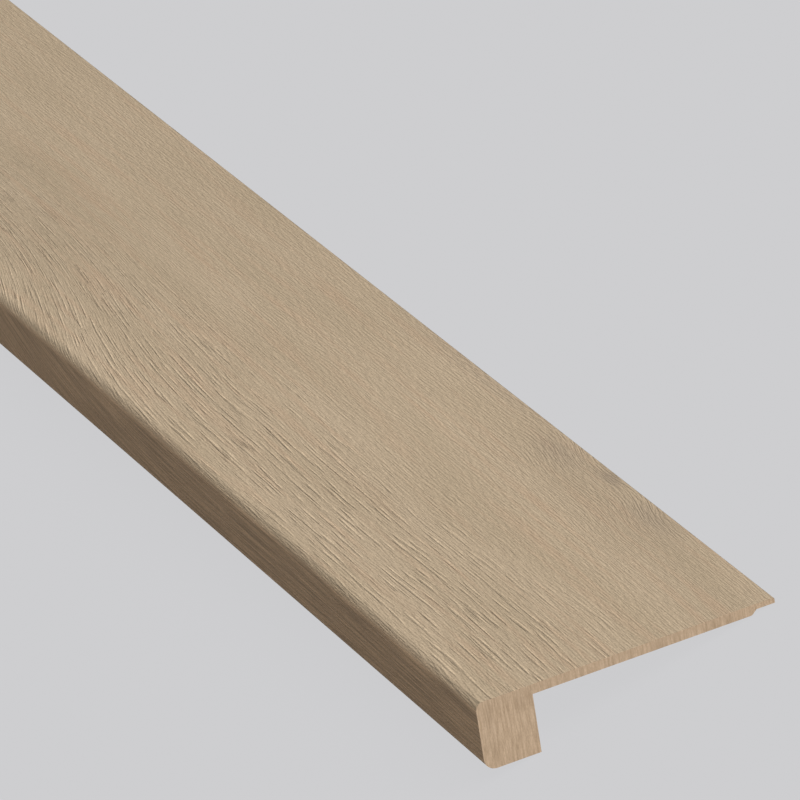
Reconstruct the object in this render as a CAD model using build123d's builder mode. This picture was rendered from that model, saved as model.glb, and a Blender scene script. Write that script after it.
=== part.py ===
"""Flush stair nosing: one length of moulded oak.

The section is an upside-down L. A deep nose block hangs over the edge of the
step, and a thin flange runs back from its top over the tread, level with the
floor. The flange's back edge is rebated from below, which leaves an upper lip
that laps the first floor board. The two front corners of the nose are rounded,
and the grain runs along the length.

Set down on a level floor it leans back until the lip's lower edge touches, so
it is modelled in that resting pose: +X along the grain, +Y from the nose
towards the lip and +Z up. The origin is on the floor, in the middle of the
length and of the depth that the leaning piece covers. Sizes are in millimetres.
"""

import os
from math import atan2, cos, degrees, radians, sin, tan

from build123d import *

# The stock's length, and its width from the front of the nose to the lip's edge
stock_length = 1981.0
overall_width = 111.0

# Nose block
nose_height = 25.4
nose_thickness = 20.6
nose_top_radius = 3.0
nose_bottom_radius = 4.5

# Flange, and the lip that its rebate leaves
flange_thickness = 3.7
lip_thickness = 2.0
lip_length = 6.9
shoulder_angle = 42.0  # degrees, of the rebate's sloping shoulder
shoulder_radius = 1.5  # where the shoulder meets the underside
lip_ease = 0.4

# The section's corners: across from the nose's face, and up from the top face
lip_root = overall_width - lip_length
shoulder_run = (flange_thickness - lip_thickness) / tan(radians(shoulder_angle))

top_front = (0, 0)
bottom_front = (0, -nose_height)
heel = (nose_thickness, -nose_height)
inner_corner = (nose_thickness, -flange_thickness)
shoulder_foot = (lip_root - shoulder_run, -flange_thickness)
shoulder_head = (lip_root, -lip_thickness)
lip_bottom = (overall_width, -lip_thickness)
lip_top = (overall_width, 0)


def lean_to_land(corner):
    """Degrees the piece turns about its heel before this corner is on the floor."""
    across, up = corner
    return degrees(atan2(up - heel[1], across - heel[0]))


# Of the two lowest corners at the back, the one that needs less lean lands first
rest_lean = min(lean_to_land(corner) for corner in (shoulder_foot, lip_bottom))


def leaned(corner):
    """Where a corner of the section lies, across and up, once the piece leans."""
    across, up = corner
    lean = radians(rest_lean)
    return (across * cos(lean) + up * sin(lean), up * cos(lean) - across * sin(lean))


# The heel stands on the floor. The rounded bottom corner reaches furthest forward
# and the eased edge of the lip furthest back, with the origin halfway between.
round_centre = (nose_bottom_radius, nose_bottom_radius - nose_height)
front_reach = leaned(round_centre)[0] - nose_bottom_radius
back_reach = leaned((overall_width, -lip_ease))[0]
section_plane = Plane(
    origin=(0, -(front_reach + back_reach) / 2, -leaned(heel)[1]),
    x_dir=(0, cos(radians(rest_lean)), -sin(radians(rest_lean))),
    z_dir=(1, 0, 0),
)


def corner_of(sketch, corner):
    """The vertex of a sketch at one of the section's corners."""
    return sketch.vertices().sort_by_distance((*corner, 0))[0]


with BuildPart() as stair_nosing:
    with BuildSketch(section_plane) as section:
        with BuildLine():
            Polyline(
                top_front,
                bottom_front,
                heel,
                inner_corner,
                shoulder_foot,
                shoulder_head,
                lip_bottom,
                lip_top,
                close=True,
            )
        make_face()
        fillet(corner_of(section, top_front), radius=nose_top_radius)
        fillet(corner_of(section, bottom_front), radius=nose_bottom_radius)
        fillet(corner_of(section, shoulder_foot), radius=shoulder_radius)
        chamfer(corner_of(section, lip_top), length=lip_ease)
    extrude(amount=stock_length / 2, both=True)

stair_nosing.part.label = "stair_nosing"

os.makedirs("parts", exist_ok=True)
export_step(stair_nosing.part, "parts/stair_nosing.step")
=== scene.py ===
"""The looks of the flush stair nosing: brushed, pale stained oak in plain studio light.

The dressed piece follows the CAD section and replaces the plain CAD node. Its
section, its grain and its relief are worked out in millimetres. What stands in the
scene is in metres, in the row frame: +X along the grain, with the photographed end
at +X, and +Z up.
"""

import math

import bpy
import numpy as np
from mathutils import Euler, Matrix, Vector


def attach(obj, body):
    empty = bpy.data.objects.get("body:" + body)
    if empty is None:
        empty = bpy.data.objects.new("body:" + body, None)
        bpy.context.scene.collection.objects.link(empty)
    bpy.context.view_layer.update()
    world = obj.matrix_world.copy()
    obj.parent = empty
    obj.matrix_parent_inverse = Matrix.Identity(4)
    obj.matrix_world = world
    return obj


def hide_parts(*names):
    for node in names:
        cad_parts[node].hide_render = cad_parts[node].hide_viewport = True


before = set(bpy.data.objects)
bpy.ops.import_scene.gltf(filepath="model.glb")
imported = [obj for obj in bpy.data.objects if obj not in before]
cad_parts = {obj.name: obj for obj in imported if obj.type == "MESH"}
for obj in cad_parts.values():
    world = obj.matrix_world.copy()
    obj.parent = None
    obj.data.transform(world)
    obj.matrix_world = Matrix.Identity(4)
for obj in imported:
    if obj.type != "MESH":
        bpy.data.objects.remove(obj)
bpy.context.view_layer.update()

# The section, in millimetres, as in the part's source
LENGTH = 1981.0
WIDTH = 111.0
NOSE_HEIGHT = 25.4
NOSE_THICKNESS = 20.6
TOP_RADIUS = 3.0
BOTTOM_RADIUS = 4.5
FLANGE = 3.7
LIP = 2.0
LIP_LENGTH = 6.9
SHOULDER_ANGLE = 42.0  # degrees
SHOULDER_RADIUS = 1.5
LIP_EASE = 0.4

SHOULDER_SLOPE = math.radians(SHOULDER_ANGLE)
LIP_ROOT = WIDTH - LIP_LENGTH
SHOULDER_FOOT = LIP_ROOT - (FLANGE - LIP) / math.tan(SHOULDER_SLOPE)
BOTTOM_CENTRE = BOTTOM_RADIUS - NOSE_HEIGHT
LEAN = math.atan2(NOSE_HEIGHT - LIP, WIDTH - NOSE_THICKNESS)

# The mesh's points, in millimetres apart. The top face is finer from its middle to
# the nose, and the rings are close together only towards the photographed end.
TOP_MIDDLE = 70
LIP_SIDE_STEP = 0.34
NOSE_SIDE_STEP = 0.25
FRONT_STEP = 0.36
RING_STEP = 4.2
FINE_RINGS_LENGTH = 600
FAR_RINGS = 46

# Lines of grain, in millimetres: how steeply they drift to the nose and how far back,
# how far the flat-sawn figure bends them and where, and the two steps of the fan
DRIFT = 0.018
DRIFT_END = 700
FIGURE_BEND = 50
FIGURE_BACK = 480
FIGURE_REACH = 110
FAN_STEP = 6
FAN_STEPS = ((102, 72), (160, 126))

# Across from the nose's face, in millimetres: where each starts and where it is full
DRIFT_ACROSS = (75, 10)
FIGURE_ACROSS = (75, -5)
FAN_ACROSS = (76, 112)
STREAKS_ACROSS = (84, 22)

# Raised streaks of late wood, in millimetres. The far wood has fewer and longer ones.
STREAKS = 6500
LAST_LINE = 205
FAR_WOOD = 620
FAR_SHARE_LEFT_OUT = 0.55
FAR_EXTRA_LENGTH = 45
SHORTEST_STREAK = 6
STREAK_WIDTHS = (0.26, 0.4)
STREAK_RISES = (0.03, 0.13)
STREAK_WAVES = (0, 0.2)
CLOSEST_LINES = 0.3

# The dark pore beside a streak, on its nose side: partly stain and partly painted shade
# on the streak's shaded side. Its place and width, as shares of the streak's width
PORE_BESIDE = 1.5
PORE_WIDTH = 0.9

# Depths of the brushed relief under the CAD's surface, in millimetres
FACE_SHARE = 0.15  # of the relief that the top has, on the nose's face
HIGHEST_STREAK = 0.16
FINE_RELIEF = 0.03
GROUND_BY_LIP = 0.02
GROUND_BY_NOSE = 0.13
SHALLOWEST = 0.004
DEEPEST = 0.2

# The knot at the lip's edge and the greyer wood around it, in millimetres: how far
# back, how far across, half its length and half its width, and how deep its colour is
KNOT = (
    (115, 108.2, 8, 2.6, 1.0),
    (146, 103, 15, 5, 0.5),
    (78, 106, 17, 5, 0.55),
    (110, 99, 60, 12, 0.2),
    (215, 109, 55, 4, 0.35),
)


def smooth(nothing, full, value):
    """A smooth step, from 0 where the value is at nothing to 1 where it is at full."""
    t = np.clip((value - nothing) / (full - nothing), 0, 1)
    return t * t * (3 - 2 * t)


def noise(x, y, seed):
    """Smooth noise from 0 to 1 at the points x, y, with a cell of 1."""
    table = np.random.default_rng(seed).random((257, 257))
    xi, yi = np.floor(x).astype(int), np.floor(y).astype(int)
    fx, fy = x - xi, y - yi
    fx, fy = fx * fx * (3 - 2 * fx), fy * fy * (3 - 2 * fy)
    a = table[xi % 257, yi % 257]
    b = table[(xi + 1) % 257, yi % 257]
    c = table[xi % 257, (yi + 1) % 257]
    d = table[(xi + 1) % 257, (yi + 1) % 257]
    return (a + (b - a) * fx) * (1 - fy) + (c + (d - c) * fx) * fy


# The section's outline as columns of points: across from the nose's face, up from the
# top face, the normal that points out, and 1 where the wood is brushed
columns = []
hard = set()


def straight(start, end, step, brushed=0, hard_start=True):
    """A straight run of the outline, without its last point."""
    (u0, v0), (u1, v1) = start, end
    length = math.hypot(u1 - u0, v1 - v0)
    count = max(1, round(length / step))
    normal = ((v1 - v0) / length, (u0 - u1) / length)
    if hard_start:
        hard.add(len(columns))
    for k in range(count):
        t = k / count
        columns.append((u0 + (u1 - u0) * t, v0 + (v1 - v0) * t, *normal, brushed))


def arc(centre, radius, start, end, count, brushed=0):
    """An arc of the outline from one angle to another in degrees, without its last point."""
    for k in range(count):
        angle = math.radians(start + (end - start) * k / count)
        c, s = math.cos(angle), math.sin(angle)
        columns.append((centre[0] + radius * c, centre[1] + radius * s, c, s, brushed))


# Anticlockwise round the end face as seen from +X: the top face from the lip to the
# nose, and then the nose's front, bottom and back
straight((WIDTH - LIP_EASE, 0), (TOP_MIDDLE, 0), LIP_SIDE_STEP, brushed=1)
straight((TOP_MIDDLE, 0), (TOP_RADIUS, 0), NOSE_SIDE_STEP, brushed=1, hard_start=False)
arc((TOP_RADIUS, -TOP_RADIUS), TOP_RADIUS, 90, 180, count=16, brushed=1)
straight((0, -TOP_RADIUS), (0, BOTTOM_CENTRE), FRONT_STEP, brushed=1, hard_start=False)
arc((BOTTOM_RADIUS, BOTTOM_CENTRE), BOTTOM_RADIUS, 180, 270, count=14)
straight((BOTTOM_RADIUS, -NOSE_HEIGHT), (NOSE_THICKNESS, -NOSE_HEIGHT), step=3, hard_start=False)
straight((NOSE_THICKNESS, -NOSE_HEIGHT), (NOSE_THICKNESS, -FLANGE), step=4)
top_and_nose = slice(0, len(columns))

# The underside of the flange, the rebate's rounded shoulder and the lip
foot_run = SHOULDER_RADIUS * math.tan(SHOULDER_SLOPE / 2)
foot_start = SHOULDER_FOOT - foot_run
foot_end = (
    SHOULDER_FOOT + foot_run * math.cos(SHOULDER_SLOPE),
    -FLANGE + foot_run * math.sin(SHOULDER_SLOPE),
)
straight((NOSE_THICKNESS, -FLANGE), (foot_start, -FLANGE), step=6)
arc((foot_start, SHOULDER_RADIUS - FLANGE), SHOULDER_RADIUS, 270, 270 + SHOULDER_ANGLE, count=6)
straight(foot_end, (LIP_ROOT, -LIP), step=1, hard_start=False)
straight((LIP_ROOT, -LIP), (WIDTH, -LIP), step=2)
straight((WIDTH, -LIP), (WIDTH, -LIP_EASE), step=0.8)
straight((WIDTH, -LIP_EASE), (WIDTH - LIP_EASE, 0), step=1)

# The relief is low on the nose's face, and it ends above the rounded bottom corner
u, v, nu, nv, relief = np.array(columns).T
relief = relief * (FACE_SHARE + (1 - FACE_SHARE) * smooth(2, 11, u)) * smooth(BOTTOM_CENTRE, -15, v)
round_outline = np.concatenate(([0], np.cumsum(np.hypot(np.diff(u), np.diff(v)))))

# Every point of the mesh: along the length, round the outline, across from the nose's
# face, and back from the photographed end
near = np.arange(LENGTH / 2, LENGTH / 2 - FINE_RINGS_LENGTH, -RING_STEP)
far = np.linspace(near[-1], -LENGTH / 2, FAR_RINGS)[1:]
X, S = np.meshgrid(np.concatenate((near, far)), round_outline, indexing="ij")
U = np.broadcast_to(u, X.shape)
back = LENGTH / 2 - X


def waves(rise, along, across, seed):
    """Waves in the lines of grain, of a height and a cell both ways in millimetres."""
    return rise * (noise(X / along, S / across, seed) - 0.5)


def grain_lines():
    """Which line of grain runs through each point, counted in millimetres.

    The lines run along the length. Towards the photographed end they drift a little
    to the nose. Further back a flat-sawn figure bends them down over it, and beside a
    knot at the lip's edge they fan out in two steps. Both count across the top face
    only, so that the lines keep their spacing on the underside.
    """
    shown = (v > -0.5) | ((u < 5) & (v > -20))
    across_top = np.broadcast_to(np.where(shown, u, 0), X.shape)
    grain = S + DRIFT * np.minimum(back, DRIFT_END) * smooth(*DRIFT_ACROSS, U)
    figure = FIGURE_BEND * np.exp(-(((back - FIGURE_BACK) / FIGURE_REACH) ** 2))
    grain = grain + figure * smooth(*FIGURE_ACROSS, across_top)
    fan = sum(FAN_STEP * smooth(nothing, full, back) for nothing, full in FAN_STEPS)
    grain = grain - fan * smooth(*FAN_ACROSS, across_top)

    # The short waves are livelier from the figure on, and both are calm on the front
    lively = 1 + 0.7 * smooth(300, 450, back) * smooth(50, 15, U)
    steady = 1 - 0.8 * np.broadcast_to(smooth(-2, -6, v) * (u < 6), X.shape)
    long_waves = waves(2.2, along=120, across=30, seed=3)
    short_waves = waves(0.8 * lively, along=33, across=8, seed=4)
    return grain + steady * (long_waves + short_waves)


grain = grain_lines()

# Brushed relief. Raised streaks of late wood stand over the softer wood, strong
# towards the nose and fading towards the lip. Where the lines of grain crowd together
# they are fewer for each line, and as wide on the face as elsewhere.
rng = np.random.default_rng(21)
height = np.zeros(X.shape)
pore_stain_and_shade = np.zeros(X.shape)


def streak(start, length, line, width, rise, wave):
    """One raised streak along a line of the grain, and the dark pore beside it, partly pigment and
    partly painted shade.
    """
    first, last = np.searchsorted(back[:, 0], (start, start + length))
    if last - first < 2:
        return
    rows = slice(first, last)
    t = (back[rows, :1] - start) / length
    taper = np.clip(4 * t * (1 - t), 0, 1) ** 0.6
    bend = wave * np.sin(2 * math.pi * back[rows, :1] / (3.1 * length) + line * 7)
    off = grain[rows] - line - bend
    height[rows] += rise * taper * np.exp(-((off / width) ** 2))
    pore_stain_and_shade[rows] += rise * taper * np.exp(-(((off - PORE_BESIDE * width) / (PORE_WIDTH * width)) ** 2))


def spacing(start, line):
    """Where a line lies across the face at a streak's start, and how far off the next is."""
    ring = min(len(X) - 1, int(np.searchsorted(back[:, 0], start)))
    across, beside = np.interp((line, line + 1), grain[ring, top_and_nose], u[top_and_nose])
    return across, min(1.0, max(CLOSEST_LINES, across - beside))


for _ in range(STREAKS):
    line = rng.uniform(-2, LAST_LINE)
    start = rng.uniform(-20, LENGTH)
    if start > FAR_WOOD and rng.random() < FAR_SHARE_LEFT_OUT:
        continue
    length = rng.gamma(3.0, 7.0) + SHORTEST_STREAK
    if start > FAR_WOOD:
        length += FAR_EXTRA_LENGTH
    across, apart = spacing(start, line)
    strength = float(smooth(*STREAKS_ACROSS, across))
    if strength < rng.random() * 0.9 or apart < rng.random():
        continue
    width = rng.uniform(*STREAK_WIDTHS) / apart
    rise = rng.uniform(*STREAK_RISES) * strength
    streak(start, length, line, width, rise, rng.uniform(*STREAK_WAVES))

fine = noise(X / 22, grain / 0.75, 15) - 0.5
ground = GROUND_BY_LIP + GROUND_BY_NOSE * smooth(90, 40, U)
height = np.clip(height, 0, HIGHEST_STREAK) + FINE_RELIEF * fine - ground
height = np.clip(height, -DEEPEST, -SHALLOWEST) * relief


def leaned(across, up):
    """Where points of the section lie, across and up, once the piece leans back."""
    c, s = math.cos(LEAN), math.sin(LEAN)
    return across * c + up * s, up * c - across * s


# The heel stands on the floor, and the origin is in the middle of the depth covered
row_y, row_z = leaned(U + height * nu, np.broadcast_to(v, X.shape) + height * nv)
front_reach = leaned(BOTTOM_RADIUS, BOTTOM_CENTRE)[0] - BOTTOM_RADIUS
back_reach = leaned(WIDTH, -LIP_EASE)[0]
middle = (front_reach + back_reach) / 2
heel = leaned(NOSE_THICKNESS, -NOSE_HEIGHT)[1]

rings, count = X.shape
points = np.stack((X / 1000, row_y / 1000 - middle / 1000, row_z / 1000 - heel / 1000), axis=-1)
corner = np.arange(rings * count).reshape(rings, count)
following = np.roll(corner, -1, axis=1)
quads = np.stack((corner[:-1], corner[1:], following[1:], following[:-1]), axis=-1).reshape(-1, 4)
faces = quads.tolist()
faces.append(corner[0].tolist())
faces.append(corner[-1][::-1].tolist())

mesh = bpy.data.meshes.new("stair_nosing_dressed")
mesh.from_pydata(points.reshape(-1, 3).tolist(), [], faces)
mesh.polygons.foreach_set("use_smooth", [True] * len(quads) + [False, False])
mesh.polygons.foreach_set("material_index", [0] * len(quads) + [1, 1])


def mark_hard_edges():
    """Keeps the section's hard edges and the rims of both end faces sharp."""
    ends = np.empty(len(mesh.edges) * 2, int)
    mesh.edges.foreach_get("vertices", ends)
    ends = ends.reshape(-1, 2)
    ring_of, column_of = ends // count, ends % count
    is_hard = (column_of[:, 0] == column_of[:, 1]) & np.isin(column_of[:, 0], sorted(hard))
    is_hard |= (ring_of[:, 0] == ring_of[:, 1]) & np.isin(ring_of[:, 0], (0, rings - 1))
    sharp = mesh.attributes.new("sharp_edge", "BOOLEAN", "EDGE")
    sharp.data.foreach_set("value", is_hard)


def point_values(name, values):
    """Stores one number a vertex, which the material reads."""
    attribute = mesh.attributes.new(name, "FLOAT", "POINT")
    values = np.broadcast_to(values, X.shape)
    attribute.data.foreach_set("value", values.astype(np.float32).ravel())


def store_wood():
    """What the material reads at each point: place in the grain, kinds of wood, and where shade and
    light are painted.
    """
    place = np.stack((X, grain, U), axis=-1).astype(np.float32)
    vector = mesh.attributes.new("grain", "FLOAT_VECTOR", "POINT")
    vector.data.foreach_set("vector", place.ravel())
    point_values("pore_stain_and_shade", np.clip(pore_stain_and_shade / 0.2, 0, 1.5))
    deep = (smooth(76, 26, U + 0.02 * back) + 0.1) * (0.2 + 0.8 * smooth(0.5, 6, U))
    point_values("brushed", np.clip(deep, 0, 1))

    # The nose's face, and a band under the arris over it painted paler: painted light where the soft
    # light wraps round the rounding
    nose = u < 6
    point_values("arris_painted_light", smooth(-0.7, -1.9, v) * smooth(-4.4, -3.1, v) * nose)
    point_values("nose_face", smooth(-0.3, -4.2, v) * nose)

    dusk = np.zeros(X.shape)
    for far_back, across, long, wide, depth in KNOT:
        dusk += depth * np.exp(-(((back - far_back) / long) ** 2) - ((U - across) / wide) ** 2)
    point_values("dusk", np.clip(dusk, 0, 1) * (v > -1))


mark_hard_edges()
store_wood()
mesh.update()
mesh.validate()


def add_object(name, data):
    """A new object, in the scene."""
    thing = bpy.data.objects.new(name, data)
    bpy.context.scene.collection.objects.link(thing)
    return thing


nosing = add_object("stair_nosing_oak", mesh)


class Nodes:
    """Short ways to add and link shader nodes."""

    def __init__(self, owner):
        owner.use_nodes = True
        self.tree = owner.node_tree
        self.tree.nodes.clear()

    def add(self, kind, **settings):
        node = self.tree.nodes.new(kind)
        for key, value in settings.items():
            setattr(node, key, value)
        return node

    def link(self, source, target):
        self.tree.links.new(source, target)

    def end(self, source, kind="ShaderNodeOutputMaterial"):
        """Gives the tree its output."""
        self.link(source, self.add(kind).inputs["Surface"])

    def attribute(self, name, output="Fac"):
        return self.add("ShaderNodeAttribute", attribute_name=name).outputs[output]

    def mapping(self, source, scale=(1, 1, 1), rotation=(0, 0, 0), shift=(0, 0, 0)):
        """Scaled and turned coordinates, moved by a shift given before the scale."""
        node = self.add("ShaderNodeMapping")
        node.inputs["Location"].default_value = [a * b for a, b in zip(scale, shift)]
        node.inputs["Scale"].default_value = scale
        node.inputs["Rotation"].default_value = rotation
        self.link(source, node.inputs["Vector"])
        return node.outputs["Vector"]

    def noise(self, source, scale, detail=2.0, roughness=0.5, shift=(0, 0, 0)):
        """Noise from 0 to 1, with as many cells a unit each way as the scale says."""
        node = self.add("ShaderNodeTexNoise")
        node.inputs["Scale"].default_value = 1.0
        node.inputs["Detail"].default_value = detail
        node.inputs["Roughness"].default_value = roughness
        self.link(self.mapping(source, scale, shift=shift), node.inputs["Vector"])
        return node.outputs["Fac"]

    def ramp(self, source, low, high, out_low=0.0, out_high=1.0):
        """A value between low and high, moved to between out_low and out_high."""
        node = self.add("ShaderNodeMapRange", clamp=True)
        node.inputs["From Min"].default_value = low
        node.inputs["From Max"].default_value = high
        node.inputs["To Min"].default_value = out_low
        node.inputs["To Max"].default_value = out_high
        self.link(source, node.inputs["Value"])
        return node.outputs["Result"]

    def math(self, operation, a, b):
        node = self.add("ShaderNodeMath", operation=operation)
        for socket, value in zip(node.inputs, (a, b)):
            if isinstance(value, (int, float)):
                socket.default_value = value
            else:
                self.link(value, socket)
        return node.outputs["Value"]

    def plus(self, a, b):
        return self.math("ADD", a, b)

    def minus(self, a, b):
        return self.math("SUBTRACT", a, b)

    def times(self, a, b):
        return self.math("MULTIPLY", a, b)

    def larger(self, a, b):
        return self.math("MAXIMUM", a, b)

    def mix(self, factor, a, b, blend="MIX"):
        node = self.add("ShaderNodeMix", data_type="RGBA", blend_type=blend)
        for socket, value in ((node.inputs[0], factor), (node.inputs[6], a), (node.inputs[7], b)):
            if isinstance(value, tuple):
                socket.default_value = (*value, 1)
            elif isinstance(value, (int, float)):
                socket.default_value = value
            else:
                self.link(value, socket)
        return node.outputs[2]

    def shade(self, colour, tone):
        """A colour made paler where the tone is over 1 and darker where it is under."""
        grey = self.add("ShaderNodeCombineColor")
        for socket in grey.inputs:
            self.link(tone, socket)
        return self.mix(1.0, colour, grey.outputs["Color"], "MULTIPLY")

    def wood(self, colour, heights, roughness, specular, strength, distance):
        """Ends the tree with a matt surface, and with a bump from the heights."""
        shader = self.add("ShaderNodeBsdfPrincipled")
        self.link(colour, shader.inputs["Base Color"])
        shader.inputs["Roughness"].default_value = roughness
        shader.inputs["Specular IOR Level"].default_value = specular
        bump = self.add("ShaderNodeBump")
        bump.inputs["Strength"].default_value = strength
        bump.inputs["Distance"].default_value = distance
        self.link(heights, bump.inputs["Height"])
        self.link(bump.outputs["Normal"], shader.inputs["Normal"])
        self.end(shader.outputs["BSDF"])


# The oak's colours, as linear red, green and blue
FACE_DEEP = (0.428, 0.333, 0.224)
FACE_PALE = (0.463, 0.361, 0.247)
FACE_WARM = (0.455, 0.329, 0.219)
NOSE_FACE = (0.454, 0.308, 0.185)
KNOT_DARK = (0.25, 0.195, 0.145)
END_DEEP = (0.373, 0.265, 0.171)
END_PALE = (0.519, 0.382, 0.261)

# How high the shaded ridges of the long faces stand, in millimetres
BOLD_RISE = 0.34
CLOSE_RISE = 0.12
GRIT_RISE = 0.05

# How much darker and paler the two sides of a ridge are painted, as painted shade and
# painted light from the lip's side, and how many times stronger the painted lit side of a bold one is
BOLD_PAINTED_SHADING = 0.18
CLOSE_PAINTED_SHADING = 0.13
PAINTED_LIT_SIDE = 3.3

# Half the distance between the two sides of a ridge, in millimetres
BOLD_SIDE = 0.3
CLOSE_SIDE = 0.25


class Face:
    """The noises and values of the oak's long faces, which its parts share.

    A noise has so many cells a millimetre along the length, across the lines of grain
    and across the nosing's width.
    """

    def __init__(self, n):
        self.n = n
        self.where = n.attribute("grain", "Vector")
        self.pore_stain_and_shade = n.attribute("pore_stain_and_shade")
        self.brushed = n.attribute("brushed")
        self.nose = n.attribute("nose_face")
        self.arris_painted_light = n.attribute("arris_painted_light")
        self.dusk = n.attribute("dusk")
        self.grit = n.noise(self.where, (0.9, 2.2, 0.0), 1.0, 0.6)
        patchy = n.ramp(n.noise(self.where, (0.03, 0.3, 3.0), 2.0), 0.36, 0.6, 0.4, 1.06)
        self.deep = n.times(patchy, self.brushed)

    def bold(self, shift):
        """Bold ridges, where the brushing is deep."""
        ridges = self.n.noise(self.where, (0.036, 0.98, 0.0), 1.3, 0.45, (0, shift, 0))
        return self.n.ramp(ridges, 0.555, 0.665)

    def close(self, shift):
        """Close fine ridges, everywhere."""
        ridges = self.n.noise(self.where, (0.15, 1.6, 0.0), 1.5, 0.45, (0, shift, 0))
        return self.n.ramp(ridges, 0.40, 0.60)

    def heights(self):
        """The ridges and the grit between them, in millimetres."""
        n = self.n
        ridges = n.times(n.times(self.bold(0), self.deep), BOLD_RISE)
        ridges = n.plus(ridges, n.times(self.close(0), CLOSE_RISE))
        return n.plus(ridges, n.times(self.grit, GRIT_RISE))

    def ground(self):
        """The colour without lines: broad and warm patches, the nose, and painted light on the band
        under its arris.
        """
        n = self.n
        broad = n.noise(self.where, (0.011, 0.055, 0.0), 3)
        colour = n.mix(n.ramp(broad, 0.35, 0.68), FACE_DEEP, FACE_PALE)
        warm = n.noise(self.where, (0.014, 0.05, 0.3), 2)
        colour = n.mix(n.ramp(warm, 0.50, 0.72, 0.0, 0.7), colour, FACE_WARM)
        colour = n.mix(self.nose, colour, NOSE_FACE)
        # Painted light: the band under the arris is painted up to a third paler, for the soft light
        # on the rounding
        return n.shade(colour, n.ramp(self.arris_painted_light, 0.0, 1.0, 1.0, 1.36))

    def lines(self, along):
        """The tone of the lines: painted shade on the nose side of a ridge, partly standing for
        dark pigment in the groove, and painted light on its other side, as if lit from the lip."""
        n = self.n
        # Painted light and shade: each ridge shifted both ways, so its lip side is painted paler and
        # its nose side darker
        side = n.minus(self.bold(BOLD_SIDE), self.bold(-BOLD_SIDE))
        side = n.larger(n.times(side, PAINTED_LIT_SIDE), side)
        side = n.times(n.times(side, self.deep), BOLD_PAINTED_SHADING)
        # The close ridges get the same painted light and shade, more faintly
        thin = n.times(n.minus(self.close(CLOSE_SIDE), self.close(-CLOSE_SIDE)), CLOSE_PAINTED_SHADING)
        spread = n.ramp(n.noise(self.where, (0.02, 0.11, 5.0), 1.0), 0.36, 0.64, 0.55, 1.45)
        spread = n.plus(spread, n.ramp(self.dusk, 0.0, 1.0, 0.0, 1.6))
        thin = n.times(n.times(thin, spread), n.ramp(self.brushed, 0.0, 1.0, 1.0, 0.75))
        thin = n.times(thin, n.ramp(along, 600, 780, 0.75, 1.0))
        return n.plus(n.plus(side, thin), 1.0)

    def colour(self):
        """The ground under its lines, grit and hairs, the knot, and the pores' dark pigment and
        painted shade.
        """
        n = self.n
        position = n.add("ShaderNodeSeparateXYZ")
        n.link(self.where, position.inputs[0])
        colour = n.shade(self.ground(), self.lines(position.outputs["X"]))
        colour = n.shade(colour, n.ramp(self.grit, 0.3, 0.7, 0.86, 1.14))
        hairs = n.ramp(n.noise(self.where, (0.024, 1.7, 0.4), 2, 0.55), 0.39, 0.61, -1.0, 1.0)
        hairs = n.times(hairs, n.ramp(self.nose, 0.0, 1.0, 0.02, 0.27))
        colour = n.shade(colour, n.plus(hairs, 1.0))
        colour = n.mix(n.times(self.dusk, 0.6), colour, KNOT_DARK)

        # The top is made up to six per cent darker further back from the photographed end and towards
        # the lip
        back_darkening = n.ramp(position.outputs["X"], 560, 800, 0.06, 0.0)
        back_darkening = n.times(back_darkening, n.ramp(position.outputs["Z"], 20, 95))
        colour = n.shade(colour, n.minus(1.0, back_darkening))
        # Partly painted shade: the pores on the streaks' nose side are darkened, partly as pigment
        # and partly as the streaks' shade
        return n.shade(colour, n.ramp(self.pore_stain_and_shade, 0.0, 1.5, 1.0, 0.9))


def oak_face():
    """Long faces: pale khaki oak, brushed so that fine ridges follow the grain."""
    material = bpy.data.materials.new("oak_face")
    n = Nodes(material)
    face = Face(n)
    n.wood(face.colour(), face.heights(), roughness=0.7, specular=0.2, strength=1.0, distance=0.001)
    return material


def oak_end():
    """End grain: redder, with growth rings that cross the section nearly upright."""
    material = bpy.data.materials.new("oak_end")
    n = Nodes(material)
    level = n.mapping(n.add("ShaderNodeTexCoord").outputs["Object"], rotation=(LEAN, 0, 0))
    growth = n.noise(level, (0, 1350, 130), 2.5, 0.6)
    wide = n.noise(level, (0, 240, 40), 2)
    speck = n.noise(level, (0, 2600, 1100), 2)
    colour = n.mix(n.ramp(growth, 0.34, 0.66), END_DEEP, END_PALE)
    colour = n.shade(colour, n.ramp(wide, 0.3, 0.7, 0.95, 1.04))
    colour = n.shade(colour, n.ramp(speck, 0.3, 0.7, 0.90, 1.10))
    n.wood(colour, growth, roughness=0.8, specular=0.15, strength=0.35, distance=0.0001)
    return material


mesh.materials.append(oak_face())
mesh.materials.append(oak_end())

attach(nosing, "root")
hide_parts("stair_nosing")

# Pale studio, in metres and degrees: what the camera sees behind the piece, and what
# lights it. The camera sees only a little of the shadow that falls on the floor.
BACKDROP = (0.617, 0.617, 0.631)
AROUND = (0.25, 0.25, 0.25)
FLOOR_TONE = (0.45, 0.45, 0.45)
FLOOR_SHADOW = 0.03
FLOOR_HALF = 4
KEY_FROM = (0.45, 0.5055, 0.7357)
KEY_STRENGTH = 2.86
KEY_SPREAD = 50
FILL_FROM = (1.0, 0.05, 0.05)
FILL_TARGET = (0.7, 0, 0)
FILL_DISTANCE = 5.0
FILL_SIZE = 1.5
FILL_STRENGTH = 92

# The camera, fitted to the edges that the photo shows: its place in metres, its turn
# about X, Y and Z in degrees, and its lens and sensor in millimetres
CAMERA_PLACE = (3.330997145, -0.616947817, 1.555975543)
CAMERA_TURN = (57.155969, 21.293523, 62.746769)
CAMERA_LENS = 393.3326
CAMERA_SENSOR = 36


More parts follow.
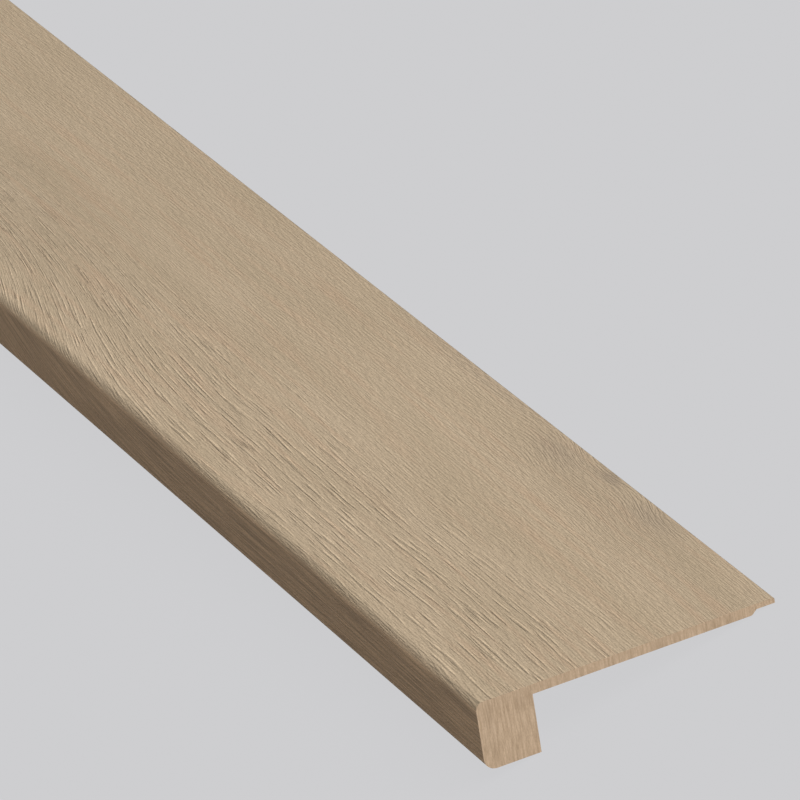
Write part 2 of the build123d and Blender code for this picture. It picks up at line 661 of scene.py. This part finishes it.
def seen(n):
    """1 for the rays that should see the pale backdrop."""
    path = n.add("ShaderNodeLightPath")
    rays = n.larger(path.outputs["Is Camera Ray"], path.outputs["Is Glossy Ray"])
    return n.larger(rays, path.outputs["Is Transmission Ray"])


def add_world():
    """An even surround, which the camera sees as the backdrop."""
    world = bpy.data.worlds.new("studio")
    bpy.context.scene.world = world
    n = Nodes(world)
    background = n.add("ShaderNodeBackground")
    n.link(n.mix(seen(n), AROUND, BACKDROP), background.inputs["Color"])
    n.end(background.outputs["Background"], "ShaderNodeOutputWorld")


def pale_floor():
    """A grey floor for the light, which the camera sees in the backdrop's colour."""
    material = bpy.data.materials.new("pale_floor")
    n = Nodes(material)
    lit = n.add("ShaderNodeBsdfDiffuse")
    lit.inputs["Color"].default_value = (*FLOOR_TONE, 1)
    shadowed = n.add("ShaderNodeBsdfDiffuse")
    shadowed.inputs["Color"].default_value = (*BACKDROP, 1)
    even = n.add("ShaderNodeEmission")
    even.inputs["Color"].default_value = (*BACKDROP, 1)
    shown = n.add("ShaderNodeMixShader")
    shown.inputs["Fac"].default_value = FLOOR_SHADOW
    n.link(even.outputs[0], shown.inputs[1])
    n.link(shadowed.outputs[0], shown.inputs[2])
    choose = n.add("ShaderNodeMixShader")
    n.link(seen(n), choose.inputs["Fac"])
    n.link(lit.outputs[0], choose.inputs[1])
    n.link(shown.outputs[0], choose.inputs[2])
    n.end(choose.outputs[0])
    return material


def add_floor():
    """A square floor under the piece."""
    signs = ((-1, -1), (1, -1), (1, 1), (-1, 1))
    corners = [(FLOOR_HALF * a, FLOOR_HALF * b, 0) for a, b in signs]
    floor_mesh = bpy.data.meshes.new("floor")
    floor_mesh.from_pydata(corners, [], [(0, 1, 2, 3)])
    floor_mesh.materials.append(pale_floor())
    return add_object("floor", floor_mesh)


def turn_to(light, direction):
    """Turns a light so that it shines from a direction."""
    light.rotation_euler = direction.to_track_quat("Z", "Y").to_euler()


def add_lights():
    """A broad sun as the key, and a soft square light on the photographed end."""
    sun = bpy.data.lights.new("key", "SUN")
    sun.energy = KEY_STRENGTH
    sun.angle = math.radians(KEY_SPREAD)
    turn_to(add_object("key", sun), Vector(KEY_FROM))

    fill = bpy.data.lights.new("end_fill", "AREA")
    fill.shape = "SQUARE"
    fill.size = FILL_SIZE
    fill.energy = FILL_STRENGTH
    light = add_object("end_fill", fill)
    direction = Vector(FILL_FROM).normalized()
    light.location = Vector(FILL_TARGET) + direction * FILL_DISTANCE
    turn_to(light, direction)


def add_camera():
    """The scene's camera."""
    data = bpy.data.cameras.new("camera")
    data.sensor_width = CAMERA_SENSOR
    data.lens = CAMERA_LENS
    data.clip_start = 0.1
    data.clip_end = 100
    camera = add_object("camera", data)
    turn = Euler([math.radians(angle) for angle in CAMERA_TURN])
    camera.matrix_world = Matrix.LocRotScale(Vector(CAMERA_PLACE), turn, None)
    bpy.context.scene.camera = camera


add_world()
floor = add_floor()
add_lights()
add_camera()
bpy.context.scene.view_settings.view_transform = "Standard"
